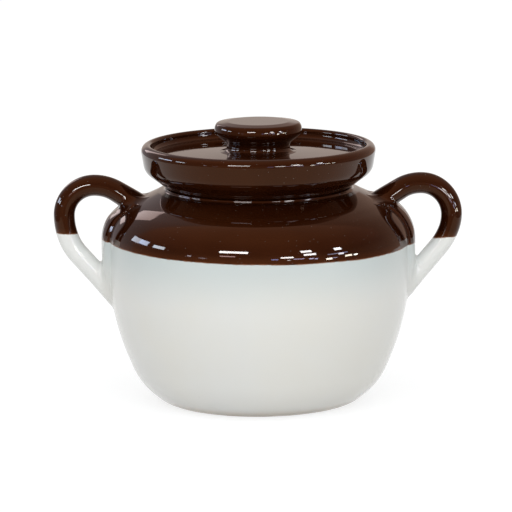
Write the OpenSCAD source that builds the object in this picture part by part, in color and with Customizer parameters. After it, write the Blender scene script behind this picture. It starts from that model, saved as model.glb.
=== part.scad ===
// Stoneware bean pot with two loop handles and a loose dished lid.
// Millimetres. Z is up and the origin is the middle of the foot, on the surface that the pot stands on.
// The handles lie along X. The front of the pot faces -Y.

/* [Pot] */
// Widest diameter of the belly
belly_d = 200; // [190:1:220]
// Height of the mouth rim, which the lid sits on
pot_h = 143; // [135:1:165]
// Thickness of the side wall
wall = 7; // [5:0.5:8.5]
// Thickness of the floor
floor_t = 9; // [7:0.5:11]
// Diameter of the outline where the floor and the side would meet
foot_d = 131; // [124:1:140]
// Diameter of the outline at the heel, above the foot
heel_d = 161; // [154:1:166]
// Height of the heel
heel_h = 13; // [11:0.5:19]
// Height at which the side would become upright
belly_low = 61; // [52:1:70]
// Drop from the rim to the top of the upright side
belly_drop = 20; // [17:0.5:24]
// Diameter of the outline where the shoulder turns in
shoulder_d = 163; // [156:1:172]
// Drop from the rim to that turn
shoulder_drop = 9.4; // [8:0.1:12]
// Rounding of the foot edge
foot_round = 15; // [8:0.5:16]
// Rounding of the heel
heel_round = 46; // [36:1:80]
// Rounding of the belly
belly_round = 168; // [100:1:170]
// Rounding above the belly
turn_round = 26; // [14:0.5:30]
// Rounding of the shoulder
shoulder_round = 40; // [16:1:60]

/* [Mouth and foot] */
// Diameter of the mouth
mouth_d = 108; // [96:1:112]
// Outer diameter of the rim
rim_d = 122; // [118:1:126]
// Rounding of the rim's outer edge
rim_round = 1.6; // [0.8:0.1:2.5]
// Rounding of the rim's inner edge
mouth_round = 2; // [1:0.1:2.5]
// Diameter of the shallow recess under the foot
recess_d = 92; // [70:1:104]
// Depth of that recess
recess_h = 1.5; // [1:0.1:2.5]

/* [Lid] */
// Diameter over the lip of the lid
lid_d = 156.2; // [148:0.2:164]
// Height of the lip above the rim of the pot
lid_h = 28.4; // [24:0.2:34]
// Depth of the dish from the lip to its floor
dish_depth = 6.2; // [5:0.2:8]
// Thickness of the dish floor
lid_floor_t = 7.5; // [6:0.5:9]
// Thickness of the rounded lip
lip_t = 6.8; // [6:0.2:8]
// Diameter at which the underside of the lid turns up into its wall
bowl_d = 150.5; // [144:0.5:154]
// Height of that turn above the rim
bowl_h = 10.6; // [9:0.2:14]
// Rounding of that turn
bowl_round = 10; // [6:0.5:14]
// Rounding inside the dish, at the floor
dish_round = 4; // [2:0.5:5]
// Clearance all round between the locating ring and the mouth
ring_gap = 1.5; // [1:0.1:2.5]
// Thickness of the locating ring
ring_t = 5.5; // [4:0.5:7]
// Depth that the locating ring reaches into the mouth
ring_drop = 7; // [5:0.5:10]

/* [Knob] */
// Widest diameter of the knob
knob_d = 58.6; // [50:0.2:66]
// Height of the knob above the dish floor
knob_h = 21; // [18:0.5:26]
// Diameter of the outline at the knob's waist
waist_d = 39.6; // [34:0.2:42]
// Height of the waist above the dish floor
waist_h = 3.4; // [3:0.1:4.5]
// Diameter of the knob's foot
knob_foot_d = 54.4; // [50:0.2:58]
// Thickness of the knob's grip, from its under edge to its top
grip_t = 7.2; // [6:0.2:9]
// Rounding of the grip's top edge
grip_round = 6.5; // [3:0.5:8]

/* [Handles] */
// Thickness of the handle rod, from inside the loop to outside
rod_d = 14; // [11:0.2:16]
// Width of the handle rod, from front to back
rod_w = 15.6; // [12:0.2:20]
// Reach of the rod's middle past the belly
handle_out = 28.8; // [26:0.2:34]
// Height of the rod's middle above the rim, at the top of the loop
handle_up = 1.2; // [0:0.2:6]
// Drop from the rim to where the loop turns back to the pot
handle_turn = 33; // [31:0.5:40]
// Drop from the rim to the lower root
handle_root = 74; // [70:0.5:84]
// Drop from the rim to the upper root
upper_root = 11.5; // [9:0.5:15]
// Bend of the rod at its upper root
root_bend = 28; // [14:0.5:30]
// Bend of the rod at the outer top of the loop
top_bend = 20; // [14:0.5:21]
// Bend of the rod at its lower turn
low_bend = 38; // [24:0.5:44]
// Share by which the rod grows thicker at its roots
root_thicker = 0.06; // [0:0.02:0.3]
// Share by which the rod grows wider at its roots
root_wider = 0.38; // [0:0.02:0.6]
// Length over which the rod grows to its roots
root_fade = 24; // [14:1:30]
// Height that the pad of clay inside the loop stands proud of the pot
pad_proud = 3.2; // [3:0.2:6]
// Width of that pad, from front to back
pad_w = 20; // [17:0.5:26]
// Share by which that pad is narrower at its ends
pad_narrow = 0.3; // [0.1:0.05:0.5]

/* [Hidden] */
$fn = 144;
belly_r = belly_d / 2;
rim_r = rim_d / 2;
mouth_r = mouth_d / 2;
ring_r = mouth_r - ring_gap;
lip_z = pot_h + lid_h;
dish_z = lip_z - dish_depth;
under_z = dish_z - lid_floor_t;
knob_top = dish_z + knob_h;
glaze_brown = [0.23, 0.12, 0.08];
glaze_white = [0.90, 0.90, 0.87];

// ---- Flat shapes with true round corners -------------------------------------------------
// A shape is a list of corners [across, up, rounding], anticlockwise.

function point(p) = [p[0], p[1]];
function unit(v) = v / norm(v);
function back(c, i) = c[(i + len(c) - 1) % len(c)];
function next(c, i) = c[(i + 1) % len(c)];
function to_back(c, i) = unit(point(back(c, i)) - point(c[i]));
function to_next(c, i) = unit(point(next(c, i)) - point(c[i]));
function half_angle(c, i) = acos(max(-1, min(1, to_back(c, i) * to_next(c, i)))) / 2;
function turns_in(c, i) = cross(to_next(c, i), to_back(c, i)) < 0;
function rounding(p) = len(p) > 2 ? p[2] : 0;

// Length that a rounding takes from each side of its corner, before and after it is limited.
function wanted(c, i) = rounding(c[i]) / tan(half_angle(c, i));
function side(c, i) = norm(point(next(c, i)) - point(c[i]));
function share(c, i) = 0.998 * side(c, i) / max(0.001, wanted(c, i) + wanted(c, (i + 1) % len(c)));
function limit(c, i) = min(1, share(c, i), share(c, (i + len(c) - 1) % len(c)));
function radius(c, i) = rounding(c[i]) * limit(c, i);
function reach(c, i) = wanted(c, i) * limit(c, i);

function is_round(c, i) = radius(c, i) > 0.01 && abs(90 - half_angle(c, i)) > 0.05;
function arc_start(c, i) = point(c[i]) + to_back(c, i) * reach(c, i);
function arc_end(c, i) = point(c[i]) + to_next(c, i) * reach(c, i);
function arc_centre(c, i) =
    point(c[i]) + unit(to_back(c, i) + to_next(c, i)) * radius(c, i) / sin(half_angle(c, i));

// The corners with each rounded one cut off straight from the start of its arc to the end.
function cut_corners(c) = [
    for (i = [0 : len(c) - 1])
        for (p = is_round(c, i) ? [arc_start(c, i), arc_end(c, i)] : [point(c[i])])
            p
];

// The round at a corner, from a little behind its straight cut to its arc. The arc is a hair tighter
// than one that would leave its two sides dead tangent, so that it crosses them cleanly.
tighter = 0.99;

module slice(c, i) {
    half = radius(c, i) * cos(half_angle(c, i));
    r = max(radius(c, i) * tighter, half * 1.0001);
    deep = sqrt(r * r - half * half);
    out = point(c[i]) - arc_centre(c, i);
    translate((arc_start(c, i) + arc_end(c, i)) / 2)
        rotate(atan2(out[1], out[0]))
            intersection() {
                translate([-deep, 0])
                    circle(r);
                translate([-0.3 * (r - deep), -r])
                    square([r, 2 * r]);
            }
}

module rounded(c) {
    difference() {
        union() {
            polygon(cut_corners(c));
            for (i = [0 : len(c) - 1])
                if (is_round(c, i) && !turns_in(c, i)) slice(c, i);
        }
        for (i = [0 : len(c) - 1])
            if (is_round(c, i) && turns_in(c, i)) slice(c, i);
    }
}

// Turned on the wheel: the flat shape revolved about Z, with its seam at the back.
module turned(c) {
    rotate([0, 0, 90])
        rotate_extrude()
            rounded(c);
}

// Where two sides of an outline meet once each has moved inwards by its own thickness.
function left(v) = [-v[1], v[0]];
function inset(a, b, c, t1, t2) =
    let (n1 = left(unit(point(b) - point(a))), n2 = left(unit(point(c) - point(b))))
    point(b) + [t1 * n2[1] - t2 * n1[1], n1[0] * t2 - n2[0] * t1] / cross(n1, n2);

// Where the line from a through b has the given distance across.
function at_across(a, b, x) = [x, a[1] + (b[1] - a[1]) * (x - a[0]) / (b[0] - a[0])];

// ---- Pot ----------------------------------------------------------------------------------

foot = [foot_d / 2, 0, foot_round];
heel = [heel_d / 2, heel_h, heel_round];
belly = [belly_r, belly_low, belly_round];
turn = [belly_r, pot_h - belly_drop, turn_round];
shoulder = [shoulder_d / 2, pot_h - shoulder_drop, shoulder_round];
rim = [rim_r, pot_h, rim_round];

// The same corners on the inside of the wall, rounded about the same centres.
in_foot = inset([0, 0], foot, heel, floor_t, wall);
in_heel = inset(foot, heel, belly, wall, wall);
in_belly = inset(heel, belly, turn, wall, wall);
in_turn = inset(belly, turn, shoulder, wall, wall);
in_shoulder = inset(turn, shoulder, rim, wall, wall);
in_rim = inset(shoulder, rim, [0, pot_h], wall, wall);
in_mouth = at_across(in_shoulder, in_rim, mouth_r);

function concat_r(p, r) = [p[0], p[1], r];

// The outside of the pot as a solid, which the handles are fitted to.
module pot_outside() {
    turned(outline);
}

module pot_body() {
    color(glaze_white)
        turned([
            [0, recess_h],
            [recess_d / 2, recess_h, recess_h],
            [recess_d / 2 + recess_h, 0],
            foot,
            heel,
            belly,
            turn,
            shoulder,
            rim,
            [mouth_r, pot_h, mouth_round],
            concat_r(in_mouth, mouth_round),
            concat_r(in_shoulder, shoulder_round - wall),
            concat_r(in_turn, turn_round - wall),
            concat_r(in_belly, belly_round - wall),
            concat_r(in_heel, heel_round - wall),
            concat_r(in_foot, floor_t),
            [0, floor_t]
        ]);
}

// ---- Handles ------------------------------------------------------------------------------

// The line of the rod, as corners [across, up, bend], from inside the shoulder round to the side.
loop_top = [belly_r + 0.5, pot_h + handle_up, root_bend];
loop_out = [belly_r + handle_out, pot_h + handle_up, top_bend];
loop_turn = [belly_r + handle_out - 0.5, pot_h - handle_turn, low_bend];
upper_root_at = [belly_r - 20, pot_h - upper_root];
lower_root_at = [belly_r - 8, pot_h - handle_root];
upper_in = point(loop_top) + 1.65 * (upper_root_at - point(loop_top));
lower_in = point(loop_turn) + 1.3 * (lower_root_at - point(loop_turn));
loop = [upper_in, loop_top, loop_out, loop_turn, lower_in];

// Points round the bend at a corner.
function bend_points(c, i, steps) =
    let (
        centre = arc_centre(c, i),
        from = arc_start(c, i) - centre,
        sweep = (180 - 2 * half_angle(c, i)) * (turns_in(c, i) ? -1 : 1)
    )
    [for (k = [0 : steps]) centre + rotated(from, k * sweep / steps)];
function rotated(v, a) = [v[0] * cos(a) - v[1] * sin(a), v[0] * sin(a) + v[1] * cos(a)];
function between(a, b, parts, from) = [for (k = [from : parts - 1]) a + (b - a) * k / parts];

line = concat(
    between(loop[0], arc_start(loop, 1), 6, 0),
    bend_points(loop, 1, 5),
    bend_points(loop, 2, 12),
    bend_points(loop, 3, 8),
    between(arc_end(loop, 3), loop[4], 6, 1),
    [loop[4]]
);

// A form swept along a line of points in the X-Z plane, oval in section. thick and wide give its half
// sizes at each point, across the line and along Y.
function along(line, k) = unit(line[min(k + 1, len(line) - 1)] - line[max(k - 1, 0)]);

module swept(line, thick, wide, sides) {
    last = (len(line) - 1) * sides;
    polyhedron(
        points = [
            for (k = [0 : len(line) - 1])
                for (j = [0 : sides - 1])
                    let (out = left(along(line, k)) * thick[k] * cos(j * 360 / sides))
                        [line[k][0] + out[0], wide[k] * sin(j * 360 / sides), line[k][1] + out[1]]
        ],
        faces = concat(
            [[for (j = [sides - 1 : -1 : 0]) j]],
            [
                for (k = [0 : len(line) - 2])
                    for (j = [0 : sides - 1])
                        let (a = k * sides + j, b = k * sides + (j + 1) % sides)
                            each [[a, b, a + sides], [b, b + sides, a + sides]]
            ],
            [[for (j = [0 : sides - 1]) last + j]]
        )
    );
}

// The rod swells towards each root, where its end was pressed onto the pot.
function spread(p) = let (d = min(norm(p - upper_root_at), norm(p - lower_root_at)) / root_fade)
    d < 1 ? (1 - d * d) * (1 - d * d) : 0;

module bent_rod() {
    swept(
        line,
        [for (p = line) rod_d / 2 * (1 + root_thicker * spread(p))],
        [for (p = line) rod_w / 2 * (1 + root_wider * spread(p))],
        28
    );
}

// The pad of clay worked onto the pot between the two roots. Its line runs up the pot's own outline.
outline = [[0, 0], foot, heel, belly, turn, shoulder, rim, [0, pot_h]];
function on_belly(z) =
    let (c = arc_centre(outline, 3), r = radius(outline, 3))
    [c[0] + sqrt(max(0, r * r - pow(min(z, c[1]) - c[1], 2))), z];
pad_line = concat(
    between(on_belly(pot_h - handle_root + 3), arc_start(outline, 4), 6, 0),
    bend_points(outline, 4, 6),
    between(arc_end(outline, 4), upper_root_at + [3, 1], 5, 1),
    [upper_root_at + [3, 1]]
);

// The pad narrows to its two ends, which lie inside the roots.
function to_end(k) = pow(abs(2 * k / (len(pad_line) - 1) - 1), 3);

module pad() {
    swept(
        pad_line,
        [for (k = [0 : len(pad_line) - 1]) pad_proud * (1 - 0.15 * to_end(k))],
        [for (k = [0 : len(pad_line) - 1]) pad_w / 2 * (1 - pad_narrow * to_end(k))],
        20
    );
}

module handle() {
    difference() {
        union() {
            bent_rod();
            pad();
        }
        pot_outside();
    }
}

module handle_right() {
    color(glaze_brown)
        handle();
}

module handle_left() {
    color(glaze_brown)
        mirror([1, 0, 0])
            handle();
}

// ---- Lid ----------------------------------------------------------------------------------

skirt_r = rim_r - 0.4;
lid_r = lid_d / 2;

module lid() {
    color(glaze_brown)
        turned([
            [0, under_z],
            [ring_r - ring_t, under_z, ring_t],
            [ring_r - ring_t, pot_h - ring_drop, ring_t / 3],
            [ring_r, pot_h - ring_drop, ring_t / 3],
            [ring_r, pot_h, ring_gap / 2],
            [skirt_r, pot_h, rim_round],
            [bowl_d / 2, pot_h + bowl_h, bowl_round],
            [lid_r, lip_z, lip_t / 2],
            [lid_r - lip_t, lip_z, lip_t / 2],
            [lid_r - lip_t - dish_depth / 5, dish_z, dish_round],
            [0, dish_z]
        ]);
}

knob_r = knob_d / 2;
foot_edge = 0.8;

module lid_knob() {
    color(glaze_brown)
        turned([
            [0, dish_z],
            [knob_foot_d / 2, dish_z],
            [knob_foot_d / 2 - foot_edge / 2, dish_z + foot_edge, foot_edge],
            [waist_d / 2, dish_z + waist_h, 3],
            [knob_r - 0.3, knob_top - grip_t, 2.5],
            [knob_r, knob_top - 0.3, grip_round],
            [knob_r - 9, knob_top, 10],
            [0, knob_top]
        ]);
}

pot_body();
handle_left();
handle_right();
lid();
lid_knob();
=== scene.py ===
"""A stoneware bean pot: a dipped pot with two loop handles and a loose dished lid with a knob.

Lengths in the profiles are millimetres and are turned into metres when a mesh is made.
"""

import math

import bmesh
import bpy
import numpy as np
from mathutils import Matrix, Vector


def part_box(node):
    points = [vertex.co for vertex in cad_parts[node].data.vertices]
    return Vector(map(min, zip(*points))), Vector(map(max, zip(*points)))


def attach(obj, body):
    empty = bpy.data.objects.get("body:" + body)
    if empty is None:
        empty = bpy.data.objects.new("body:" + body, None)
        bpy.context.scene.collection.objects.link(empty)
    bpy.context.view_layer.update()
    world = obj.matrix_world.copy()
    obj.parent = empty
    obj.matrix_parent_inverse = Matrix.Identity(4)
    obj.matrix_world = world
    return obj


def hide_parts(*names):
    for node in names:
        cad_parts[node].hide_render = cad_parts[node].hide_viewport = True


bl_info = {
    "name": "Stoneware bean pot",
    "version": (1, 0, 0),
    "blender": (4, 5, 0),
    "location": "3D View > Sidebar > Bean pot",
    "description": "Dresses the bean pot's frame with thrown forms, pulled handles and glazes",
    "category": "Add Mesh",
}

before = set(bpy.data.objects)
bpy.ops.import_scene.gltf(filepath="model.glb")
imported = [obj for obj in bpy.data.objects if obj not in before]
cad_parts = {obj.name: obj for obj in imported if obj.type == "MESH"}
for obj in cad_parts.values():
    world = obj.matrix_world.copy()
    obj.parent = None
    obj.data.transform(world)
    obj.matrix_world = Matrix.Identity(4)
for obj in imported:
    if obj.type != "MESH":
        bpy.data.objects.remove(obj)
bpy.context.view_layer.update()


def _reach(node, axis):
    """Highest coordinate of a CAD node along an axis, in metres."""
    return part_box(node)[1][axis]


# ---- Sizes and colours that a user would change --------------------------------------------


class PotSizes(bpy.types.PropertyGroup):
    belly_radius: bpy.props.FloatProperty(
        name="Belly radius", description="Widest radius of the pot", default=_reach("pot_body", 0),
        min=0.08, max=0.12, unit="LENGTH",
    )
    rim_height: bpy.props.FloatProperty(
        name="Rim height", description="Height of the rim that the lid sits on",
        default=_reach("pot_body", 2), min=0.13, max=0.16, unit="LENGTH",
    )
    unevenness: bpy.props.FloatProperty(
        name="Unevenness", description="How far the thrown forms wander from a true circle",
        default=0.00018, min=0.0, max=0.001, precision=5, unit="LENGTH",
    )
    dip_height: bpy.props.FloatProperty(
        name="Dip height", description="Height of the line that the brown glaze comes down to",
        default=0.1076, min=0.06, max=0.13, precision=4, unit="LENGTH",
    )
    dip_tilt: bpy.props.FloatProperty(
        name="Dip tilt", description="Rise of that line for each metre to the left",
        default=0.0155, min=-0.05, max=0.05, precision=4,
    )
    dip_waver: bpy.props.FloatProperty(
        name="Dip waver", description="How far that line wavers up and down",
        default=0.0005, min=0.0, max=0.003, precision=5, unit="LENGTH",
    )


class HandleSizes(bpy.types.PropertyGroup):
    outreach: bpy.props.FloatProperty(
        name="Reach", description="Outermost point of a handle from the middle of the pot",
        default=_reach("handle_right", 0), min=0.12, max=0.15, unit="LENGTH",
    )
    rod_thickness: bpy.props.FloatProperty(
        name="Rod thickness", description="Thickness of the handle rod across the loop",
        default=0.0140, min=0.010, max=0.018, precision=4, unit="LENGTH",
    )
    rod_width: bpy.props.FloatProperty(
        name="Rod width", description="Width of the handle rod from front to back",
        default=0.0156, min=0.010, max=0.022, precision=4, unit="LENGTH",
    )
    clay_fillet: bpy.props.FloatProperty(
        name="Root fillet", description="How softly the roots are worked into the pot",
        default=0.0022, min=0.001, max=0.02, unit="LENGTH",
    )
    mesh_pitch: bpy.props.FloatProperty(
        name="Mesh pitch", description="Spacing of the handle's mesh", default=0.00115,
        min=0.0006, max=0.004, precision=5, unit="LENGTH",
    )


class GlazeColours(bpy.types.PropertyGroup):
    brown: bpy.props.FloatVectorProperty(
        name="Brown glaze", description="Colour of the dipped brown glaze", subtype="COLOR",
        default=(0.0155, 0.0031, 0.0006), min=0, max=1,
    )
    brown_thin: bpy.props.FloatVectorProperty(
        name="Thin brown", description="Colour of the brown glaze where it runs thin on edges",
        subtype="COLOR", default=(0.042, 0.0105, 0.0028), min=0, max=1,
    )
    rust: bpy.props.FloatVectorProperty(
        name="Rust line", description="Colour of the edge where the two glazes meet",
        subtype="COLOR", default=(0.235, 0.085, 0.030), min=0, max=1,
    )
    white: bpy.props.FloatVectorProperty(
        name="White glaze", description="Colour of the off-white glaze", subtype="COLOR",
        default=(0.765, 0.775, 0.752), min=0, max=1,
    )
    clay: bpy.props.FloatVectorProperty(
        name="Bare clay", description="Colour of the stoneware where it is not glazed",
        subtype="COLOR", default=(0.50, 0.39, 0.27), min=0, max=1,
    )


class StageSettings(bpy.types.PropertyGroup):
    distance: bpy.props.FloatProperty(
        name="Camera distance", description="From the aim point to the camera", default=3.035,
        min=1.0, max=6.0, unit="LENGTH",
    )
    elevation: bpy.props.FloatProperty(
        name="Camera elevation", description="Height of the camera above the horizon",
        default=math.radians(10.0), min=0.0, max=1.0, subtype="ANGLE",
    )
    roll: bpy.props.FloatProperty(
        name="Camera roll", description="Turn of the camera about its line of sight",
        default=math.radians(-0.44), min=-0.1, max=0.1, subtype="ANGLE",
    )
    aim: bpy.props.FloatVectorProperty(
        name="Aim point", description="Point in the middle of the picture",
        default=(-0.0021, 0.0038, 0.0953), subtype="XYZ",
    )
    lens: bpy.props.FloatProperty(
        name="Lens", description="Focal length in millimetres", default=322.2, min=50, max=500,
    )
    room_light: bpy.props.FloatProperty(
        name="Room light", description="Strength of the light from all round", default=1.0,
        min=0.0, max=4.0,
    )


# ---- Thrown profiles ------------------------------------------------------------------------


def unit(v):
    return v / np.linalg.norm(v)


def round_off(corners, step=1.6):
    """The points of an open line of corners (across, up, rounding), with roundings as arcs.

    Where two roundings don't fit on the run between them, both shrink.
    """
    pts = [np.array(c[:2], float) for c in corners]
    want = []
    for i, c in enumerate(corners):
        if i in (0, len(pts) - 1):
            want.append(0.0)
            continue
        a, b = unit(pts[i - 1] - pts[i]), unit(pts[i + 1] - pts[i])
        half = math.acos(max(-1.0, min(1.0, float(a @ b)))) / 2
        want.append((c[2] if len(c) > 2 else 0.0) / math.tan(half))
    out = []
    for i, c in enumerate(corners):
        if want[i] < 1e-6:
            out.append(pts[i])
            continue
        before, after = i - 1, i + 1
        limit = min(
            1.0,
            0.998 * np.linalg.norm(pts[after] - pts[i]) / max(0.001, want[i] + want[after]),
            0.998 * np.linalg.norm(pts[before] - pts[i]) / max(0.001, want[i] + want[before]),
        )
        a, b = unit(pts[before] - pts[i]), unit(pts[after] - pts[i])
        half = math.acos(max(-1.0, min(1.0, float(a @ b)))) / 2
        r = c[2] * limit
        centre = pts[i] + unit(a + b) * r / math.sin(half)
        start, end = pts[i] + a * want[i] * limit - centre, pts[i] + b * want[i] * limit - centre
        turn = math.atan2(start[0] * end[1] - start[1] * end[0], float(start @ end))
        steps = max(4, int(abs(turn) * r / step) + 1, int(abs(turn) / 0.16) + 1)
        for k in range(steps + 1):
            t = turn * k / steps
            out.append(centre + [start[0] * math.cos(t) - start[1] * math.sin(t),
                                 start[0] * math.sin(t) + start[1] * math.cos(t)])
    return np.array(out)


def fill_in(line, longest):
    """The same line with points added on its long straight runs."""
    out = [line[0]]
    for a, b in zip(line[:-1], line[1:]):
        parts = max(1, int(np.linalg.norm(b - a) / longest) + 1)
        out += [a + (b - a) * k / parts for k in range(1, parts + 1)]
    return np.array(out)


def pot_outline(s):
    """Corners of the pot's outside, from the foot up to the rim, in millimetres."""
    r, h = s.belly_radius * 1000, s.rim_height * 1000
    return [
        (0, 0), (63.5, 0, 16), (80.3, 13.5, 46), (r, 61, 168), (r, h - 20, 26),
        (81.5, h - 9.4, 40), (66.8, h - 2.66, 4), (62.2, h - 1.9, 1.7), (62, h, 0.8), (54, h),
    ]


def pot_section(s):
    """Corners of the pot's outside, then of its inside, from the recess under it to its floor."""
    r, h = s.belly_radius * 1000, s.rim_height * 1000
    outside = [(0, 1.5), (46, 1.5, 1.5), (47.5, 0, 0.4)] + pot_outline(s)[1:-1] + [(54, h, 2)]
    inside = [
        (54, h, 2), (54, h - 4.5, 2), (78.3, h - 15.6, 33), (93, h - 24.1, 19), (93, 62.4, 161),
        (74.65, 17.2, 39), (65.2, 9, 9), (0, 9),
    ]
    return outside, inside


# Corners (across, up, rounding) in millimetres. The lid goes from the middle of its underside
# round its ring, seat, wall and lip to the middle of its dish.
LID = [
    (0, 157.7), (47, 157.7, 5.5), (47, 136, 1.83), (52.5, 136, 1.83), (52.5, 143, 0.75),
    (60.6, 143, 1.6), (75.25, 153.6, 10), (78.15, 171.4, 4.9), (70.9, 171.4, 2.3),
    (70.8, 164.8, 3.4), (24, 166.2, 30), (0, 166.2),
]
# The knob goes from its foot in the dish up to the middle of its flat top.
KNOB = [
    (26.4, 165.4), (25.4, 166.2, 0.3), (20.8, 166.9, 4.5), (20.8, 172.0, 6), (28.95, 178.4, 3),
    (28.95, 183.2, 6.5), (27.3, 185.3, 2.2), (20.3, 186.2, 12), (0, 186.2),
]

# Sides of each thrown mesh, and a seed for how it wanders. The handles follow the pot's.
POT_SIDES, POT_SEED = 384, 0.6
LID_SIDES, LID_SEED = 320, 2.3
KNOB_SIDES, KNOB_SEED = 256, 4.1
STILL_RADIUS = 30  # millimetres from the axis, inside which a thrown form wanders less
LINING_FROM = 57  # millimetres from the axis, where the lining starts on the rim's flat top


def wander(theta, up, amount, seed):
    """How far a thrown form wanders inwards from its circle, always inside its CAD solid."""
    a = 0.5 + 0.5 * np.sin(2 * theta + seed + up * 0.021)
    b = 0.5 + 0.5 * np.sin(3 * theta - 1.7 * seed + up * 0.05)
    c = 0.5 + 0.5 * np.sin(5 * theta + 2.9 * seed - up * 0.033)
    return amount * (0.5 * a + 0.3 * b + 0.2 * c)


def throw(name, line, sides, uneven, seed, material_at=None):
    """A mesh turned from a line of (across, up) millimetres, whose ends may lie on the axis."""
    mesh = bpy.data.meshes.new(name)
    bm = bmesh.new()
    rings = []
    for across, up in line:
        if across < 1e-6:
            rings.append([bm.verts.new((0, 0, up * 0.001))])
            continue
        ring = []
        for k in range(sides):
            theta = 2 * math.pi * k / sides
            r = (across - wander(theta, up, uneven, seed) * min(1.0, across / STILL_RADIUS)) * 0.001
            ring.append(bm.verts.new((r * math.cos(theta), r * math.sin(theta), up * 0.001)))
        rings.append(ring)
    for i, (a, b) in enumerate(zip(rings[:-1], rings[1:])):
        index = material_at(i) if material_at else 0
        for k in range(sides):
            j = (k + 1) % sides
            if len(a) == 1:
                corner = (a[0], b[j], b[k])
            elif len(b) == 1:
                corner = (a[k], a[j], b[0])
            else:
                corner = (a[k], a[j], b[j], b[k])
            face = bm.faces.new(corner)
            face.smooth = True
            face.material_index = index
    bmesh.ops.recalc_face_normals(bm, faces=bm.faces)
    bm.to_mesh(mesh)
    bm.free()
    obj = bpy.data.objects.new(name, mesh)
    bpy.context.collection.objects.link(obj)
    return obj


# ---- Pulled handles -------------------------------------------------------------------------


def handle_lines(pot, handle):
    """The middle line of the rod and of the pad inside the loop, in millimetres, for +X."""
    # Every point is set off from the belly (r), the rim (h) or the loop's reach (out).
    r, h = pot.belly_radius * 1000, pot.rim_height * 1000
    out = handle.outreach * 1000 - handle.rod_thickness * 500
    top, far = np.array([r + 0.5, h + 1.2]), np.array([out + 0.3, h + 1.2])
    low = np.array([out - 0.2, h - 33])
    upper, lower = np.array([r - 20, h - 11.5]), np.array([r - 8, h - 74])
    rod = round_off([
        tuple(top + 1.65 * (upper - top)), (*top, 28), (*far, 20), (*low, 38),
        tuple(low + 1.3 * (lower - low)),
    ], step=1.5)
    outline = fill_in(round_off(pot_outline(pot), step=1.0), 2.0)
    up = (outline[:, 1] > h - 71) & (outline[:, 0] > r - 17) & (outline[:, 1] < h - 8)
    pad = np.vstack([outline[up], upper + [3, 1]])
    return fill_in(rod, 2.0), pad, upper, lower


def nearest(points, line):
    """For 2-D points, how far they are across a line (signed), and where along it from 0 to 1."""
    best = np.full(len(points), 1e9)
    across, along = np.zeros(len(points)), np.zeros(len(points))
    steps = np.linalg.norm(np.diff(line, axis=0), axis=1)
    reach = np.concatenate([[0], np.cumsum(steps)])
    for i, (a, b) in enumerate(zip(line[:-1], line[1:])):
        d = b - a
        size = float(d @ d)
        if size < 1e-12:
            continue
        t = np.clip(((points - a) @ d) / size, 0, 1)
        gap = points - (a + t[:, None] * d)
        dist = np.hypot(gap[:, 0], gap[:, 1])
        closer = dist < best
        best = np.where(closer, dist, best)
        sign = np.sign(d[0] * (points[:, 1] - a[1]) - d[1] * (points[:, 0] - a[0]))
        across = np.where(closer, dist * np.where(sign == 0, 1, sign), across)
        along = np.where(closer, reach[i] + t * steps[i], along)
    return across, along / reach[-1]


def soft_join(a, b, soft):
    """The union of two distance fields, with the join filled like clay."""
    h = np.maximum(soft - np.abs(a - b), 0) / soft
    return np.minimum(a, b) - h * h * soft / 4


def oval_field(across, y, thick, wide):
    """About the distance to an oval rod, of half sizes thick across its line and wide in Y."""
    k0 = np.sqrt((across / thick) ** 2 + (y / wide) ** 2)
    k1 = np.sqrt((across / thick ** 2) ** 2 + (y / wide ** 2) ** 2) + 1e-9
    return k0 * (k0 - 1) / k1


# How each handle was pulled by hand, in millimetres: shorter draws its bow in, lift raises its
# lower arm, stout makes that arm thicker by a share, proud thickens the pad on the pot, lean tips
# the top of the loop, and dent is the depth and the height of a dent high on the pad.
BY_HAND = {
    "left": {"shorter": 0.0, "lift": -1.6, "stout": -0.02, "proud": 1.0, "lean": 0.0,
             "dent": (1.5, 128.9)},
    "right": {"shorter": 1.3, "lift": 1.7, "stout": -0.06, "proud": 0.1, "lean": 1.8,
              "dent": (1.1, 133.5)},
}


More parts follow.
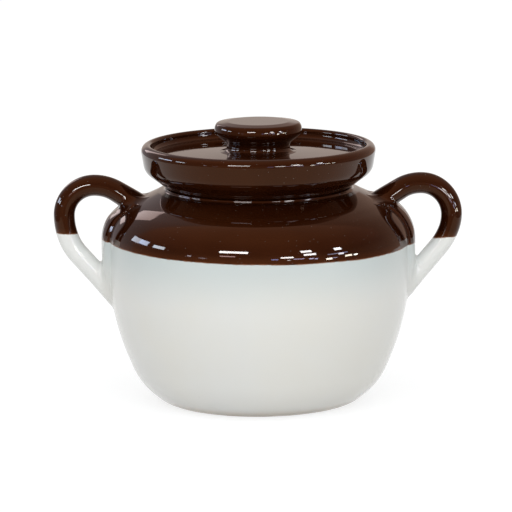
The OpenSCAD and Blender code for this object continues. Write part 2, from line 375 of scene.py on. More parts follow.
class HandleClay:
    """The clay of one handle as a distance field, in millimetres, drawn for the +X side."""

    BOW_EASE = 1.5  # power by which drawing the bow in grows outwards
    TIP_AT = 0.4  # share of the way out where leaning leaves the height as it is
    ARM_FADE = 26  # height over which the changes to the lower arm set in
    ROOT_REACH = 24  # from a root, how far the rod swells
    ROD_SWELL = (0.06, 0.38)  # share by which the rod grows there in thickness and width
    PAD = (3.2, 17.0)  # half sizes of the pad on the pot, out from it and along Y
    PAD_FADE = (0.3, 0.35)  # share by which they shrink at the pad's ends
    DENT_TALL = 3.6
    ROD_TO_PAD = (2.6, 3.0)  # radius of that join, and what the smearing adds at the sides
    POT_JOIN = (0.6, 2.3)  # the same for the join with the pot, as shares of the fillet
    SMEAR_HALF = 9  # from the middle plane, where the smearing is full
    SMEAR_UP = (70, 20)  # height where it starts, and over which it sets in
    SINK = 0.03  # how far the edge of the clay dips under the pot's surface
    TRIM = 0.4  # how much of the pot's surface is kept round the join

    def __init__(self, pot, handle, side, shorter, lift, stout, proud, lean, dent):
        self.rod, self.pad, self.upper, self.lower = handle_lines(pot, handle)
        far = self.rod[:, 0].max()
        # The bow is drawn in from near outwards, and the lower arm changes below turn.
        near, turn = pot.belly_radius * 1000 - 4, pot.rim_height * 1000 - 14
        outer = np.clip((self.rod[:, 0] - near) / (far - near), 0, 1)
        self.rod[:, 0] -= shorter * outer ** self.BOW_EASE
        low = np.clip((turn - self.rod[:, 1]) / self.ARM_FADE, 0, 1)
        low = low * low * (3 - 2 * low)
        outer = np.clip((self.rod[:, 0] - near) / (far - near), 0, 1)
        self.rod[:, 1] += lift * low + lean * (1 - low) * (self.TIP_AT - outer)
        self.proud, self.dent = proud, dent
        self.side, self.uneven = side, pot.unevenness * 1000
        self.lower[1] += lift
        outline = fill_in(round_off(pot_outline(pot), step=2.0), 8.0)
        self.outline = outline[outline[:, 1] > 30]
        self.thick = handle.rod_thickness * 500
        self.wide = handle.rod_width * 500
        self.soft = handle.clay_fillet * 1000
        steps = np.linalg.norm(np.diff(self.rod, axis=0), axis=1)
        reach = np.concatenate([[0], np.cumsum(steps)])
        reach /= reach[-1]
        swell = []
        for p in self.rod:
            d = min(np.linalg.norm(p - root) for root in (self.upper, self.lower))
            d /= self.ROOT_REACH
            swell.append((1 - d * d) ** 2 if d < 1 else 0.0)
        self.swell = (reach, np.array(swell))
        self.stout = (reach, 1 + stout * low)

    def pot(self, p):
        """Distance to the pot's thrown surface, less than 0 inside."""
        radial = np.hypot(p[:, 0], p[:, 1])
        across, _ = nearest(np.column_stack([radial, p[:, 2]]), self.outline)
        theta = np.arctan2(p[:, 1], self.side * p[:, 0])
        return wander(theta, p[:, 2], self.uneven, POT_SEED) - across

    def handle(self, p):
        """Distance to the rod and its pad, before they are worked into the pot."""
        flat = p[:, [0, 2]]
        across, along = nearest(flat, self.rod)
        s, stout = np.interp(along, *self.swell), np.interp(along, *self.stout)
        rod = oval_field(across, p[:, 1], self.thick * stout * (1 + self.ROD_SWELL[0] * s),
                         self.wide * (1 + self.ROD_SWELL[1] * s))
        radial = np.hypot(p[:, 0], p[:, 1])
        across, along = nearest(np.column_stack([radial, p[:, 2]]), self.pad)
        end = np.abs(2 * along - 1) ** 3
        dent = self.dent[0] * np.exp(-((p[:, 2] - self.dent[1]) / self.DENT_TALL) ** 2)
        thick = self.PAD[0] * (1 - self.PAD_FADE[0] * end) + self.proud * (1 - end) - dent
        wide = self.PAD[1] * (1 - self.PAD_FADE[1] * end)
        pad = oval_field(across, p[:, 1], thick, wide)
        return soft_join(rod, pad, self.ROD_TO_PAD[0] + self.ROD_TO_PAD[1] * self.smear(p))

    def smear(self, p):
        """0 at the middle of a handle and 1 at its sides, where the clay is smeared out further."""
        high = np.clip((p[:, 2] - self.SMEAR_UP[0]) / self.SMEAR_UP[1], 0, 1)
        return np.clip(np.abs(p[:, 1]) / self.SMEAR_HALF, 0, 1) ** 2 * high

    def reach(self, p):
        """How softly the clay is worked into the pot."""
        return self.soft * (self.POT_JOIN[0] + self.POT_JOIN[1] * self.smear(p))

    def __call__(self, p):
        # The pot's own surface sits a hair lower here, so the pot covers the handle's outer edge.
        return soft_join(self.handle(p), self.pot(p) + self.SINK, self.reach(p))

    def slope(self, p, step=0.05):
        """The gradient of the field."""
        g = np.empty_like(p)
        for axis in range(3):
            d = np.zeros(3)
            d[axis] = step
            g[:, axis] = (self(p + d) - self(p - d)) / (2 * step)
        return g


def skin_over(field, low, high, pitch):
    """Vertices and quads of the surface where a field is zero, one vertex to each crossed cell."""
    axes = [np.arange(a, b + pitch, pitch) for a, b in zip(low, high)]
    grid = np.stack(np.meshgrid(*axes, indexing="ij"), -1)
    shape = grid.shape[:3]
    value = field(grid.reshape(-1, 3)).reshape(shape)
    solid = value < 0
    total = np.zeros([n - 1 for n in shape] + [3])
    count = np.zeros([n - 1 for n in shape])
    corner = [(i, j, k) for i in (0, 1) for j in (0, 1) for k in (0, 1)]

    def part(a, c):
        return a[c[0]:shape[0] - 1 + c[0], c[1]:shape[1] - 1 + c[1], c[2]:shape[2] - 1 + c[2]]

    for m, c in enumerate(corner):
        for d in corner[m + 1:]:
            if sum(abs(x - y) for x, y in zip(c, d)) != 1:
                continue
            va, vb = part(value, c), part(value, d)
            crossed = (va < 0) != (vb < 0)
            t = np.where(crossed, va / np.where(crossed, va - vb, 1), 0)[..., None]
            place = part(grid, c) * (1 - t) + part(grid, d) * t
            total += np.where(crossed[..., None], place, 0)
            count += crossed
    active = count > 0
    number = np.full(active.shape, -1)
    number[active] = np.arange(active.sum())
    verts = total[active] / count[active][:, None]
    quads = []
    for axis in range(3):
        u, v = [a for a in range(3) if a != axis]
        lo, hi = [slice(1, n - 1) for n in shape], [slice(1, n - 1) for n in shape]
        lo[axis], hi[axis] = slice(0, shape[axis] - 1), slice(1, shape[axis])
        a, b = solid[tuple(lo)], solid[tuple(hi)]
        at = np.argwhere(a != b)
        inward = a[tuple(at.T)]
        at[:, u] += 1
        at[:, v] += 1
        ring = []
        for du, dv in ((1, 1), (0, 1), (0, 0), (1, 0)):
            c = at.copy()
            c[:, u] -= du
            c[:, v] -= dv
            ring.append(number[tuple(c.T)])
        ring = np.stack(ring, 1)
        flip = inward if axis != 1 else ~inward
        ring[~flip] = ring[~flip][:, ::-1]
        quads.append(ring)
    quads = np.vstack(quads)
    return verts, quads[(quads >= 0).all(1)]


def settle(verts, quads, field, rounds=4, pull=0.6):
    """Evens out the mesh and lays every vertex on the surface. Returns places and normals."""
    edges = np.vstack([quads[:, [0, 1]], quads[:, [1, 2]], quads[:, [2, 3]], quads[:, [3, 0]]])
    edges = np.unique(np.sort(edges, 1), axis=0)
    for turn in range(rounds):
        if turn < rounds - 1:
            total, count = np.zeros_like(verts), np.zeros(len(verts))
            for a, b in (edges.T, edges.T[::-1]):
                np.add.at(total, a, verts[b])
                np.add.at(count, a, 1)
            verts = verts * (1 - pull) + pull * total / np.maximum(count, 1)[:, None]
        for _ in range(2):
            g = field.slope(verts)
            size = np.maximum((g * g).sum(1), 1e-6)
            verts = verts - g * (field(verts) / size)[:, None]
    g = field.slope(verts, 0.02)
    return verts, g / np.linalg.norm(g, axis=1)[:, None]


def pull_handle(name, pot, handle, side, by_hand):
    """One handle: its clay field, skinned, cut where it has run out onto the pot."""
    clay = HandleClay(pot, handle, side, **by_hand)
    pitch = handle.mesh_pitch * 1000 * 1.0
    h, far = pot.rim_height * 1000, handle.outreach * 1000
    half, inner, margin = 27, 70, 4
    low, high = (inner - 2, -half, h - 104), (far + margin, half, h + 14)
    verts, quads = skin_over(clay, low, high, pitch)
    verts, normals = settle(verts, quads, clay)
    # What is only the pot's surface goes, and so does what lies inside the pot.
    spare = clay.handle(verts) > clay.reach(verts) + clay.TRIM
    quads = quads[~spare[quads].all(1)]
    quads = quads[(verts[quads][:, :, 0] > inner).all(1)]
    used = np.unique(quads)
    number = np.full(len(verts), -1)
    number[used] = np.arange(len(used))
    verts, normals, quads = verts[used], normals[used], number[quads]
    if side < 0:
        verts, normals = verts * [-1, 1, 1], normals * [-1, 1, 1]
        quads = quads[:, ::-1]
    mesh = bpy.data.meshes.new(name)
    mesh.from_pydata((verts * 0.001).tolist(), [], quads.tolist())
    mesh.polygons.foreach_set("use_smooth", [True] * len(mesh.polygons))
    mesh.update()
    mesh.normals_split_custom_set_from_vertices(normals.tolist())
    obj = bpy.data.objects.new(name, mesh)
    bpy.context.collection.objects.link(obj)
    return obj


# ---- Shader groups --------------------------------------------------------------------------


class Wiring:
    """Adds nodes to a tree and joins them, laid out in columns."""

    def __init__(self, tree):
        self.tree = tree
        self.count = 0

    def node(self, kind, **settings):
        made = self.tree.nodes.new(kind)
        made.location = (220 * (self.count % 8), -260 * (self.count // 8))
        self.count += 1
        for key, value in settings.items():
            setattr(made, key, value)
        return made

    def join(self, a, b):
        self.tree.links.new(a, b)

    def put(self, socket, value):
        if isinstance(value, bpy.types.NodeSocket):
            self.join(value, socket)
        else:
            socket.default_value = value

    def math(self, operation, a, b=None, c=None, clamp=False):
        made = self.node("ShaderNodeMath", operation=operation, use_clamp=clamp)
        for socket, value in zip(made.inputs, (a, b, c)):
            if value is not None:
                self.put(socket, value)
        return made.outputs[0]

    def ramp(self, value, low, high, to_low=0.0, to_high=1.0):
        """value carried from low..high to to_low..to_high with soft ends."""
        made = self.node("ShaderNodeMapRange", interpolation_type="SMOOTHSTEP")
        for key, v in (("Value", value), ("From Min", low), ("From Max", high),
                       ("To Min", to_low), ("To Max", to_high)):
            self.put(made.inputs[key], v)
        return made.outputs["Result"]

    def noise(self, at, scale, detail=2.0, rough=0.5):
        made = self.node("ShaderNodeTexNoise")
        self.join(at, made.inputs["Vector"])
        self.put(made.inputs["Scale"], scale)
        made.inputs["Detail"].default_value = detail
        made.inputs["Roughness"].default_value = rough
        return made.outputs["Fac"]

    def blend(self, share, a, b):
        made = self.node("ShaderNodeMix", data_type="RGBA")
        self.put(made.inputs["Factor"], share)
        self.put(made.inputs["A"], (*a, 1) if isinstance(a, tuple) else a)
        self.put(made.inputs["B"], (*b, 1) if isinstance(b, tuple) else b)
        return made.outputs["Result"]


def position(w):
    """The object position, and its X, Y and Z."""
    at = w.node("ShaderNodeTexCoord").outputs["Object"]
    split = w.node("ShaderNodeSeparateXYZ")
    w.join(at, split.inputs[0])
    return at, *(split.outputs[key] for key in "XYZ")


def from_axis(w, x, y):
    """Distance from the pot's axis."""
    return w.math("SQRT", w.math("ADD", w.math("MULTIPLY", x, x), w.math("MULTIPLY", y, y)))


def start_group(name, ins, outs):
    """A new shader group with float sockets, and its two ends."""
    tree = bpy.data.node_groups.new(name, "ShaderNodeTree")
    for label, value in ins:
        made = tree.interface.new_socket(label, in_out="INPUT", socket_type="NodeSocketFloat")
        made.default_value = value
    for label in outs:
        tree.interface.new_socket(label, in_out="OUTPUT", socket_type="NodeSocketFloat")
    w = Wiring(tree)
    return w, w.node("NodeGroupInput"), w.node("NodeGroupOutput")


def dip_group():
    """Where the brown glaze lies above its wavering line, and the rust edge of that line."""
    if "dip line" in bpy.data.node_groups:
        return bpy.data.node_groups["dip line"]
    w, given, out = start_group(
        "dip line",
        [("Height", 0.1076), ("Tilt", 0.0155), ("Waver", 0.0005), ("Edge", 0.0006),
         ("Handle lift", 0.0032)],
        ["Brown", "Edge", "Thickness"],
    )
    at, x, _, z = position(w)
    level = w.math("MULTIPLY_ADD", x, given.outputs["Tilt"], z)
    slow = w.math("SUBTRACT", w.noise(at, 42.0, 2.0), 0.5)
    quick = w.math("SUBTRACT", w.noise(at, 420.0, 3.0, 0.7), 0.5)
    waver = w.math("MULTIPLY_ADD", quick, 0.6, w.math("MULTIPLY", slow, 2.0))
    level = w.math("MULTIPLY_ADD", waver, given.outputs["Waver"], level)
    out_along = w.ramp(w.math("ABSOLUTE", x), 0.103, 0.125)
    above = w.math("SUBTRACT", level, given.outputs["Height"])
    above = w.math("SUBTRACT", above, w.math("MULTIPLY", out_along, given.outputs["Handle lift"]))
    w.join(w.ramp(above, -0.00012, 0.00018), out.inputs["Brown"])
    near = w.math("DIVIDE", w.math("SUBTRACT", above, 0.00012), given.outputs["Edge"])
    falls = w.math("SUBTRACT", 1.0, w.math("ABSOLUTE", near), clamp=True)
    broken = w.ramp(w.noise(at, 260.0, 1.0), 0.25, 0.6)
    w.join(w.math("MULTIPLY", falls, broken), out.inputs["Edge"])
    w.join(w.ramp(above, 0.0, 0.006), out.inputs["Thickness"])
    return w.tree


def skin_group():
    """The skin of a fired glaze: slow pooling, with little orange peel and turning lines on it."""
    if "glaze skin" in bpy.data.node_groups:
        return bpy.data.node_groups["glaze skin"]
    w, given, out = start_group(
        "glaze skin",
        [("Pooling", 1.0), ("Peel", 1.0), ("Turning", 1.0)],
        ["Height", "Cloud", "Smear"],
    )
    at, x, y, z = position(w)
    slow = w.noise(at, 26.0, 1.5)
    peel = w.noise(at, 230.0, 1.0)
    across = w.node("ShaderNodeCombineXYZ")
    w.join(from_axis(w, x, y), across.inputs["X"])
    w.join(z, across.inputs["Y"])
    lines = w.noise(across.outputs[0], 340.0, 2.0, 0.6)
    height = w.math("MULTIPLY", slow, given.outputs["Pooling"])
    height = w.math("MULTIPLY_ADD", peel, w.math("MULTIPLY", given.outputs["Peel"], 0.06), height)
    turning = w.math("MULTIPLY", given.outputs["Turning"], 0.035)
    height = w.math("MULTIPLY_ADD", lines, turning, height)
    w.join(height, out.inputs["Height"])
    w.join(w.noise(at, 14.0, 3.0, 0.55), out.inputs["Cloud"])
    w.join(w.ramp(w.noise(at, 55.0, 3.0, 0.6), 0.45, 0.75), out.inputs["Smear"])
    return w.tree


def speck_group():
    """Small specks, scattered: pinholes and iron spots, or dust."""
    if "specks" in bpy.data.node_groups:
        return bpy.data.node_groups["specks"]
    w, given, out = start_group(
        "specks", [("Scale", 260.0), ("Size", 0.16), ("Share", 0.12)], ["Specks"]
    )
    at = w.node("ShaderNodeTexCoord").outputs["Object"]
    cells = w.node("ShaderNodeTexVoronoi", feature="F1")
    w.join(at, cells.inputs["Vector"])
    w.join(given.outputs["Scale"], cells.inputs["Scale"])
    pick = w.node("ShaderNodeSeparateColor")
    w.join(cells.outputs["Color"], pick.inputs[0])
    chosen = w.math("LESS_THAN", pick.outputs["Red"], given.outputs["Share"])
    size = w.ramp(pick.outputs["Green"], 0.0, 1.0, 0.4, 1.0)
    size = w.math("MULTIPLY", given.outputs["Size"], size)
    dot = w.ramp(cells.outputs["Distance"], w.math("MULTIPLY", size, 0.5), size, 1.0, 0.0)
    w.join(w.math("MULTIPLY", dot, chosen), out.inputs["Specks"])
    return w.tree


def place_group(w, group, **values):
    """A group's node, with values or links for its sockets."""
    made = w.node("ShaderNodeGroup", node_tree=group)
    for key, value in values.items():
        w.put(made.inputs[key], value)
    return made


# ---- Glazes ---------------------------------------------------------------------------------

GLAZE_IOR = 1.42
GLAZE_TINT = (1.0, 0.52, 0.31, 1)  # warm, as the brown glaze reflects
GLAZE_RELIEF = 0.00012  # metres that the glaze skin's height of 1 stands for
CLAY_SHADE = 0.86  # the darker grains of bare clay
DUST = (0.75, 0.72, 0.68)
IRON_SPOT = (0.40, 0.33, 0.24)
FOOT_BUFF = (0.52, 0.43, 0.30)
WARM, COOL_SHADED = (1.02, 0.99, 0.93), (0.77, 0.84, 0.86)  # the white glaze in clouds, and under the dip darker and cooler as painted shade
ARM_PAINTED_LIGHT = 1.07  # the white glaze on the handles' arms, painted lighter as painted light
ARMS_FROM = (0.100, 0.108)  # metres from the middle plane, over which it becomes so
COOL_SHADE_DEPTH = 0.036  # metres under the dip, over which the white cools and darkens as painted shade
# From the axis, the bare ring under the lid where it sits on the rim.
SEAT_RING = (0.0455, 0.0576)


def start_material(name):
    """A material with a Principled surface, ready to be wired."""
    made = bpy.data.materials.new(name)
    made.use_nodes = True
    tree = made.node_tree
    tree.nodes.clear()
    w = Wiring(tree)
    surface = w.node("ShaderNodeBsdfPrincipled")
    w.join(surface.outputs[0], w.node("ShaderNodeOutputMaterial").inputs["Surface"])
    surface.inputs["IOR"].default_value = GLAZE_IOR
    surface.inputs["Specular Tint"].default_value = GLAZE_TINT
    return made, w, surface


def scaled(colour, factors):
    """A colour with each of its channels scaled."""
    return tuple(c * f for c, f in zip(colour, factors))


def finish_surface(w, surface, colour, rough, height):
    """Joins the colour, roughness and relief to a Principled surface."""
    bump = w.node("ShaderNodeBump")
    bump.inputs["Strength"].default_value = 1.0
    bump.inputs["Distance"].default_value = GLAZE_RELIEF
    w.join(height, bump.inputs["Height"])
    w.join(colour, surface.inputs["Base Color"])
    w.join(rough, surface.inputs["Roughness"])
    w.join(bump.outputs[0], surface.inputs["Normal"])


def lay_bare(w, at, bare, clay, dull, colour, rough, height):
    """The colour, roughness and height with bare, grainy clay where bare is 1."""
    grain = w.noise(at, 1500.0, 3.0, 0.7)
    clay = w.blend(w.ramp(grain, 0.35, 0.7), scaled(clay, (CLAY_SHADE,) * 3), tuple(clay))
    rough = w.math("ADD", rough, w.math("MULTIPLY", bare, dull))
    grains = w.math("MULTIPLY", w.math("MULTIPLY", grain, bare), 0.25)
    return w.blend(bare, colour, clay), rough, w.math("ADD", height, grains)


def brown_colour(w, colours, skin, thin):
    """The brown glaze, a little redder where it is thin."""
    deep = tuple(colours.brown)
    redder = tuple(colours.brown_thin)
    cloud = w.ramp(skin.outputs["Cloud"], 0.3, 0.7, 0.0, 0.35)
    share = w.math("MAXIMUM", cloud, thin) if thin is not None else cloud
    base = w.blend(share, deep, redder)
    dust = place_group(w, speck_group(), Scale=800.0, Size=0.24, Share=0.09)
    return w.blend(w.math("MULTIPLY", dust.outputs["Specks"], 0.15), base, DUST)


def brown_glaze(name, colours, bare_below=None, bare_ring=None):
    """Brown glaze all over, or with bare clay below a level and within a ring of two radii."""
    made, w, surface = start_material(name)
    skin = place_group(w, skin_group(), Pooling=1.0, Peel=1.0, Turning=1.0)
    colour = brown_colour(w, colours, skin, None)
    rough = w.ramp(skin.outputs["Smear"], 0.0, 1.0, 0.02, 0.06)
    height = skin.outputs["Height"]
    if bare_below is not None:
        at, x, y, z = position(w)
        waver = w.math("MULTIPLY", w.math("SUBTRACT", w.noise(at, 90.0, 2.0), 0.5), 0.0012)
        level = w.math("ADD", z, waver)
        bare = w.ramp(level, bare_below - 0.0001, bare_below + 0.0001, 1.0, 0.0)
        across = from_axis(w, x, y)
        for edge, low, high in zip(bare_ring, (0.0, 1.0), (1.0, 0.0)):
            bare = w.math("MULTIPLY", bare, w.ramp(across, edge, edge + 0.0004, low, high))
        colour, rough, height = lay_bare(w, at, bare, colours.clay, 0.7, colour, rough, height)
    finish_surface(w, surface, colour, rough, height)
    return made


def dipped_glaze(name, colours, pot, foot):
    """Off-white glaze with the brown glaze dipped over it from above, and a foot left bare."""
    made, w, surface = start_material(name)
    skin = place_group(w, skin_group(), Pooling=1.0, Peel=1.0, Turning=1.0)
    dip = place_group(w, dip_group(), Height=pot.dip_height, Tilt=pot.dip_tilt,
                      Waver=pot.dip_waver, Edge=0.0007)
    at, x, _, up = position(w)
    cloud = w.ramp(skin.outputs["Cloud"], 0.3, 0.7, 0.0, 0.5)
    white = w.blend(cloud, tuple(colours.white), scaled(colours.white, WARM))
    on_pot = w.ramp(w.math("ABSOLUTE", x), *ARMS_FROM, 1.0, 0.0)
    # Painted light: the white on the handles' arms is painted lighter than on the pot.
    white = w.blend(on_pot, scaled(colours.white, (ARM_PAINTED_LIGHT,) * 3), white)
    # Painted shade: just under the dip, the white on the pot is painted darker and cooler.
    high = w.ramp(up, pot.dip_height - COOL_SHADE_DEPTH, pot.dip_height, 0.0, 0.9)
    white = w.blend(w.math("MULTIPLY", on_pot, high), white, scaled(colours.white, COOL_SHADED))
    if foot:
        white = w.blend(w.ramp(up, 0.0, 0.007, 0.7, 0.0), white, FOOT_BUFF)
    iron = place_group(w, speck_group(), Scale=150.0, Size=0.10, Share=0.035)
    white = w.blend(w.math("MULTIPLY", iron.outputs["Specks"], 0.55), white, IRON_SPOT)
    brown = brown_colour(w, colours, skin, w.math("SUBTRACT", 1.0, dip.outputs["Thickness"]))
    colour = w.blend(dip.outputs["Brown"], white, brown)
    colour = w.blend(w.math("MULTIPLY", dip.outputs["Edge"], 0.8), colour, tuple(colours.rust))
    rough = w.math("ADD", w.ramp(skin.outputs["Smear"], 0.0, 1.0, 0.035, 0.085),
                   w.ramp(dip.outputs["Brown"], 0.0, 1.0, 0.10, 0.0))
    height = w.math("ADD", skin.outputs["Height"],
                    w.math("MULTIPLY", dip.outputs["Brown"], 1.2))
    if foot:
        waver = w.math("MULTIPLY", w.math("SUBTRACT", w.noise(at, 70.0, 2.0), 0.5), 0.0016)
        bare = w.ramp(w.math("ADD", up, waver), 0.0009, 0.0012, 1.0, 0.0)
        colour, rough, height = lay_bare(w, at, bare, colours.clay, 0.6, colour, rough, height)
    finish_surface(w, surface, colour, rough, height)
    return made


# ---- Operators ------------------------------------------------------------------------------


class BEANPOT_OT_pot(bpy.types.Operator):
    """Throws the pot: a round belly on a small foot, a turned-in shoulder and a plain rim"""

    bl_idname = "beanpot.pot"
    bl_label = "Pot"

    def execute(self, context):
        scene = context.scene
        s, colours = scene.bean_pot, scene.bean_glaze
        outside, inside = pot_section(s)
        whole = round_off(outside + inside[1:])
        # The whole flat top is equally high, so the part inside LINING_FROM gets a hair more.
        turn = int(np.argmax(whole[:, 1] + (whole[:, 0] < LINING_FROM) * 0.01))
        outer, inner = fill_in(whole[:turn + 1], 3.0), fill_in(whole[turn:], 4.0)
        line, split = np.vstack([outer, inner[1:]]), len(outer) - 1
        pot = throw("bean_pot", line, POT_SIDES, s.unevenness * 1000, POT_SEED,
                    lambda i: 0 if i < split else 1)
        pot.data.materials.append(dipped_glaze("pot glaze", colours, s, foot=True))
        pot.data.materials.append(brown_glaze("pot lining", colours))
        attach(pot, "pot")
        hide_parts("pot_body")
        return {"FINISHED"}


class BEANPOT_OT_handles(bpy.types.Operator):
    """Pulls the two loop handles and works their roots into the pot"""

    bl_idname = "beanpot.handles"
    bl_label = "Handles"

    def execute(self, context):
        scene = context.scene
        s, h, colours = scene.bean_pot, scene.bean_handle, scene.bean_glaze
        glaze = dipped_glaze("handle glaze", colours, s, foot=False)
        for side, word in ((-1, "left"), (1, "right")):
            made = pull_handle("loop_handle_" + word, s, h, side, BY_HAND[word])
            made.data.materials.append(glaze)
            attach(made, "pot")
            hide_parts("handle_" + word)
        return {"FINISHED"}


class BEANPOT_OT_lid(bpy.types.Operator):
    """Throws the dished lid with its rounded lip and the ring that keeps it on the mouth"""

    bl_idname = "beanpot.lid"
    bl_label = "Lid"

    def execute(self, context):
        scene = context.scene
        line = fill_in(round_off(LID), 3.0)
        s = scene.bean_pot
        lid = throw("dished_lid", line, LID_SIDES, s.unevenness * 1000, LID_SEED)
        glaze = brown_glaze("lid glaze", scene.bean_glaze, s.rim_height + 0.0004, SEAT_RING)
        lid.data.materials.append(glaze)
        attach(lid, "lid")
        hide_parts("lid")
        return {"FINISHED"}


class BEANPOT_OT_knob(bpy.types.Operator):
    """Turns the flat-topped knob on its spreading foot"""

    bl_idname = "beanpot.knob"
    bl_label = "Knob"

    def execute(self, context):
        scene = context.scene
        line = fill_in(round_off(KNOB, step=1.0), 2.0)
        uneven = scene.bean_pot.unevenness * 1000
        knob = throw("lid_knob_turned", line, KNOB_SIDES, uneven, KNOB_SEED)
        knob.data.materials.append(brown_glaze("knob glaze", scene.bean_glaze))
        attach(knob, "lid")
        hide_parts("lid_knob")
        return {"FINISHED"}


# ---- Stage ----------------------------------------------------------------------------------


def pale_floor(name, colour, glow, seen_share):
    """A pale floor. Camera and gloss see a share of its light, with shadows, over a plain glow."""
    made = bpy.data.materials.new(name)
    made.use_nodes = True
    tree = made.node_tree
    tree.nodes.clear()
    w = Wiring(tree)
    path = w.node("ShaderNodeLightPath")
    seen = path.outputs["Is Camera Ray"]
    for ray in ("Is Glossy Ray", "Is Transmission Ray"):
        seen = w.math("MAXIMUM", seen, path.outputs[ray])
    plain = w.node("ShaderNodeBsdfDiffuse")
    dimmed = scaled(colour, (seen_share,) * 3)
    w.join(w.blend(seen, colour, dimmed), plain.inputs["Color"])
    light = w.node("ShaderNodeEmission")
    w.join(w.math("MULTIPLY", seen, glow), light.inputs["Strength"])
    both = w.node("ShaderNodeAddShader")
    w.join(plain.outputs[0], both.inputs[0])
    w.join(light.outputs[0], both.inputs[1])
    w.join(both.outputs[0], w.node("ShaderNodeOutputMaterial").inputs["Surface"])
    return made


def room(name, strength):
    """White to the camera, a dim room to gloss, and even light from the front to all else.

    The ramps run over X, Y and Z of a ray's direction.
    """
    world = bpy.data.worlds.new(name)
    world.use_nodes = True
    tree = world.node_tree
    tree.nodes.clear()
    w = Wiring(tree)
    path = w.node("ShaderNodeLightPath")
    at = w.node("ShaderNodeTexCoord").outputs["Generated"]
    split = w.node("ShaderNodeSeparateXYZ")
    w.join(at, split.inputs[0])
    x, y, z = (split.outputs[key] for key in "XYZ")
    front = w.blend(w.ramp(z, 0.08, 0.30), (0.86, 0.57, 0.44), (0.58, 0.35, 0.28))
    front = w.blend(w.ramp(z, 0.55, 0.90), front, (0.80, 0.51, 0.38))
    front = w.blend(w.ramp(z, -0.30, 0.02), (0.50, 0.32, 0.26), front)
    aside = w.ramp(w.math("ABSOLUTE", x), 0.55, 0.95, 0.0, 0.55)
    aside = w.math("MULTIPLY", aside, w.ramp(z, 0.2, 0.6, 1.0, 0.0))
    front = w.blend(aside, front, (0.20, 0.15, 0.14))
    left = w.ramp(x, -0.4, 0.3)
    wall = w.blend(left, (0.44, 0.40, 0.42), (0.47, 0.31, 0.24))
    middle = w.ramp(w.math("ABSOLUTE", x), 0.22, 0.42, 1.0, 0.0)
    low = w.math("MULTIPLY", middle, w.ramp(z, 0.175, 0.26, 1.0, 0.0))
    wall = w.blend(low, wall, (0.72, 0.61, 0.55))
    gloss = w.blend(w.ramp(y, 0.30, 0.44), front, wall)
    even = w.blend(w.ramp(y, -0.95, 0.3), (1.02, 1.04, 1.05), (0.53, 0.545, 0.55))
    even = w.blend(w.ramp(x, 0.55, 0.95, 0.0, 0.5), even, (0.35, 0.35, 0.33))
    colour = w.blend(path.outputs["Is Glossy Ray"], even, gloss)
    colour = w.blend(path.outputs["Is Camera Ray"], colour, (1.0, 1.0, 1.0))
    light = w.node("ShaderNodeBackground")
    w.join(colour, light.inputs["Color"])
    light.inputs["Strength"].default_value = strength
    w.join(light.outputs[0], w.node("ShaderNodeOutputWorld").inputs["Surface"])
    return world


# Lights seen in the gloss and lights that only light, each as (name, turn to the right of the
# front, height above the horizon, width, height, radiance). The angles are degrees as seen from
# the pot. The glaze tints what it reflects, so the radiance of the lights in the gloss is bluer.
CLEAR = (38, 70, 115)
GLINTS = (
    ("strip front", -19.6, 23, 20.5, 5.5, CLEAR),
    ("strip front low", -23.7, 11.6, 11, 2.2, (12, 15, 24)),
    ("glint right 1", 11.5, 3, 5.6, 2.4, (5, 11, 38)),
    ("glint right 2", 21, 7.4, 9.5, 3.6, CLEAR),
    ("glint right 3", 21.9, 0.2, 2.2, 2.2, (12, 22, 36)),
    ("glint right 4", 29.5, 2.3, 7.6, 2, (10, 17, 42)),
    ("lamp right 1", 36.4, 20.5, 8, 5, CLEAR),
    ("lamp right 2", 38.4, 12, 9.4, 4.4, CLEAR),
    ("glint right 5", 39, 1, 3.7, 2.6, (14, 27, 66)),
    ("glint right 6", 42.7, -0.4, 2.3, 2.2, (14, 27, 66)),
    ("glint right 7", 53.2, -3.4, 5, 4, (40, 69, 98)),
    ("glint right 8", 58, -2.6, 3.8, 2, (8, 15, 34)),
    ("lamp right 3", 62.3, 17.6, 5.8, 6, CLEAR),
    ("line right", 60.8, 6.8, 17, 1.5, (7, 14, 32)),
    ("glint right 9", 63.6, 5.2, 4.5, 3.6, (26, 47, 78)),
    ("glint right 10", 70, -1.6, 6, 3.6, (38, 60, 74)),
    ("glint right 11", 76.7, -2, 3.5, 3, (38, 64, 84)),
    ("window left 1", -110, 14.3, 10, 8.5, (6.6, 9.6, 13)),
    ("window left 2", -99.7, 14.8, 10, 8, (9, 15.5, 26)),
    ("window left 3", -82.5, 14, 11.5, 6, (13, 24, 38)),
    ("glint left 1", -53, 5.8, 3, 3, (8, 14, 26)),
    ("glint left 2", -42.4, 2.8, 6, 1.4, (5, 9, 17)),
    ("panel behind", -151, 24, 11, 26, (2.25, 1.95, 1.95)),
)
SOFTBOXES = (
    ("softbox above", 0, 76, 52, 52, (0.87, 0.88, 0.88)),
    ("softbox front", 9, 3, 40, 36, (1.22, 1.22, 1.22)),
)
LIGHT_DISTANCE = 2.6
LIGHT_TARGET = (0, 0, 0.12)
SENSOR_WIDTH = 36.0  # millimetres
# Half the width of the paper on the floor, and where it ends in front and behind.
PAPER = (0.62, -0.62, 3.2)


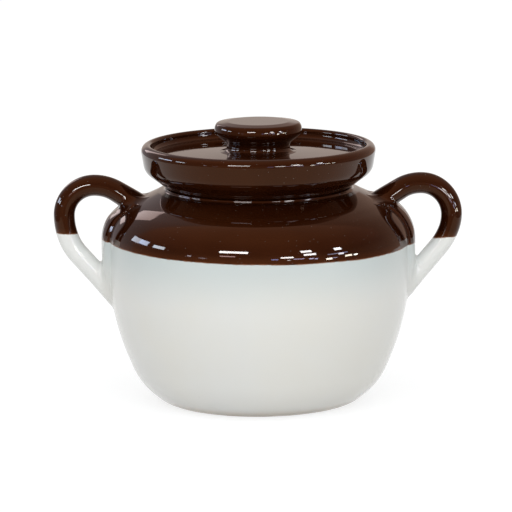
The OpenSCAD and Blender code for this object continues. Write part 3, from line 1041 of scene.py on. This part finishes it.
def hang_light(name, turn, height, wide, tall, radiance, in_gloss):
    """One rectangular light that fills the given angles as seen from the pot and faces it."""
    turn, height = math.radians(turn), math.radians(height)
    middle = Vector(LIGHT_TARGET)
    way = Vector((math.sin(turn) * math.cos(height), -math.cos(turn) * math.cos(height),
                  math.sin(height)))
    data = bpy.data.lights.new(name, "AREA")
    data.shape = "RECTANGLE"
    data.size = 2 * LIGHT_DISTANCE * math.tan(math.radians(wide) / 2)
    data.size_y = 2 * LIGHT_DISTANCE * math.tan(math.radians(tall) / 2)
    data.energy = max(radiance) * math.pi * data.size * data.size_y
    data.color = [part / max(radiance) for part in radiance]
    made = bpy.data.objects.new(name, data)
    made.location = middle + way * LIGHT_DISTANCE
    made.rotation_euler = (-way).to_track_quat("-Z", "Y").to_euler()
    made.visible_glossy, made.visible_diffuse = in_gloss, not in_gloss
    bpy.context.collection.objects.link(made)


class BEANPOT_OT_stage(bpy.types.Operator):
    """Sets the pale floor, the room, its lights and the camera"""

    bl_idname = "beanpot.stage"
    bl_label = "Stage"

    def execute(self, context):
        scene = context.scene
        s = scene.bean_stage
        mesh = bpy.data.meshes.new("floor")
        side, front, back = PAPER
        mesh.from_pydata([(-side, front, 0), (side, front, 0), (side, back, 0), (-side, back, 0)],
                         [], [(0, 1, 2, 3)])
        floor = bpy.data.objects.new("floor", mesh)
        context.collection.objects.link(floor)
        paper = pale_floor("floor paper", (0.8, 0.8, 0.8), glow=0.80, seen_share=0.36)
        floor.data.materials.append(paper)
        scene.world = room("room", s.room_light)
        for light in GLINTS:
            hang_light(*light, in_gloss=True)
        for light in SOFTBOXES:
            hang_light(*light, in_gloss=False)

        data = bpy.data.cameras.new("camera")
        camera = bpy.data.objects.new("camera", data)
        context.collection.objects.link(camera)
        data.lens = s.lens
        data.sensor_width = SENSOR_WIDTH
        data.clip_start, data.clip_end = 0.05, 60.0
        aim = Vector(s.aim)
        back = Vector((0, -math.cos(s.elevation), math.sin(s.elevation)))
        camera.location = aim + back * s.distance
        facing = (-back).to_track_quat("-Z", "Y").to_matrix().to_4x4()
        camera.rotation_euler = (facing @ Matrix.Rotation(s.roll, 4, "Z")).to_euler()
        scene.camera = camera
        scene.view_settings.view_transform = "Standard"
        return {"FINISHED"}


class BEANPOT_PT_sidebar(bpy.types.Panel):
    bl_idname = "BEANPOT_PT_sidebar"
    bl_label = "Bean pot"
    bl_space_type = "VIEW_3D"
    bl_region_type = "UI"
    bl_category = "Bean pot"

    def draw(self, context):
        for settings in ("bean_pot", "bean_handle", "bean_glaze", "bean_stage"):
            box = self.layout.box()
            group = getattr(context.scene, settings)
            for key in group.bl_rna.properties.keys():
                if key not in ("rna_type", "name"):
                    box.prop(group, key)
        for operator in PIECES:
            self.layout.operator(operator.bl_idname)


PIECES = (BEANPOT_OT_pot, BEANPOT_OT_handles, BEANPOT_OT_lid, BEANPOT_OT_knob, BEANPOT_OT_stage)
SETTINGS = {
    "bean_pot": PotSizes,
    "bean_handle": HandleSizes,
    "bean_glaze": GlazeColours,
    "bean_stage": StageSettings,
}


def register():
    for group in SETTINGS.values():
        bpy.utils.register_class(group)
    for key, group in SETTINGS.items():
        setattr(bpy.types.Scene, key, bpy.props.PointerProperty(type=group))
    for made in PIECES + (BEANPOT_PT_sidebar,):
        bpy.utils.register_class(made)


def unregister():
    for made in (BEANPOT_PT_sidebar,) + PIECES[::-1]:
        bpy.utils.unregister_class(made)
    for key, group in SETTINGS.items():
        delattr(bpy.types.Scene, key)
        bpy.utils.unregister_class(group)


def main():
    register()
    bpy.ops.beanpot.pot()
    bpy.ops.beanpot.handles()
    bpy.ops.beanpot.lid()
    bpy.ops.beanpot.knob()
    bpy.ops.beanpot.stage()


if __name__ == "__main__":
    main()
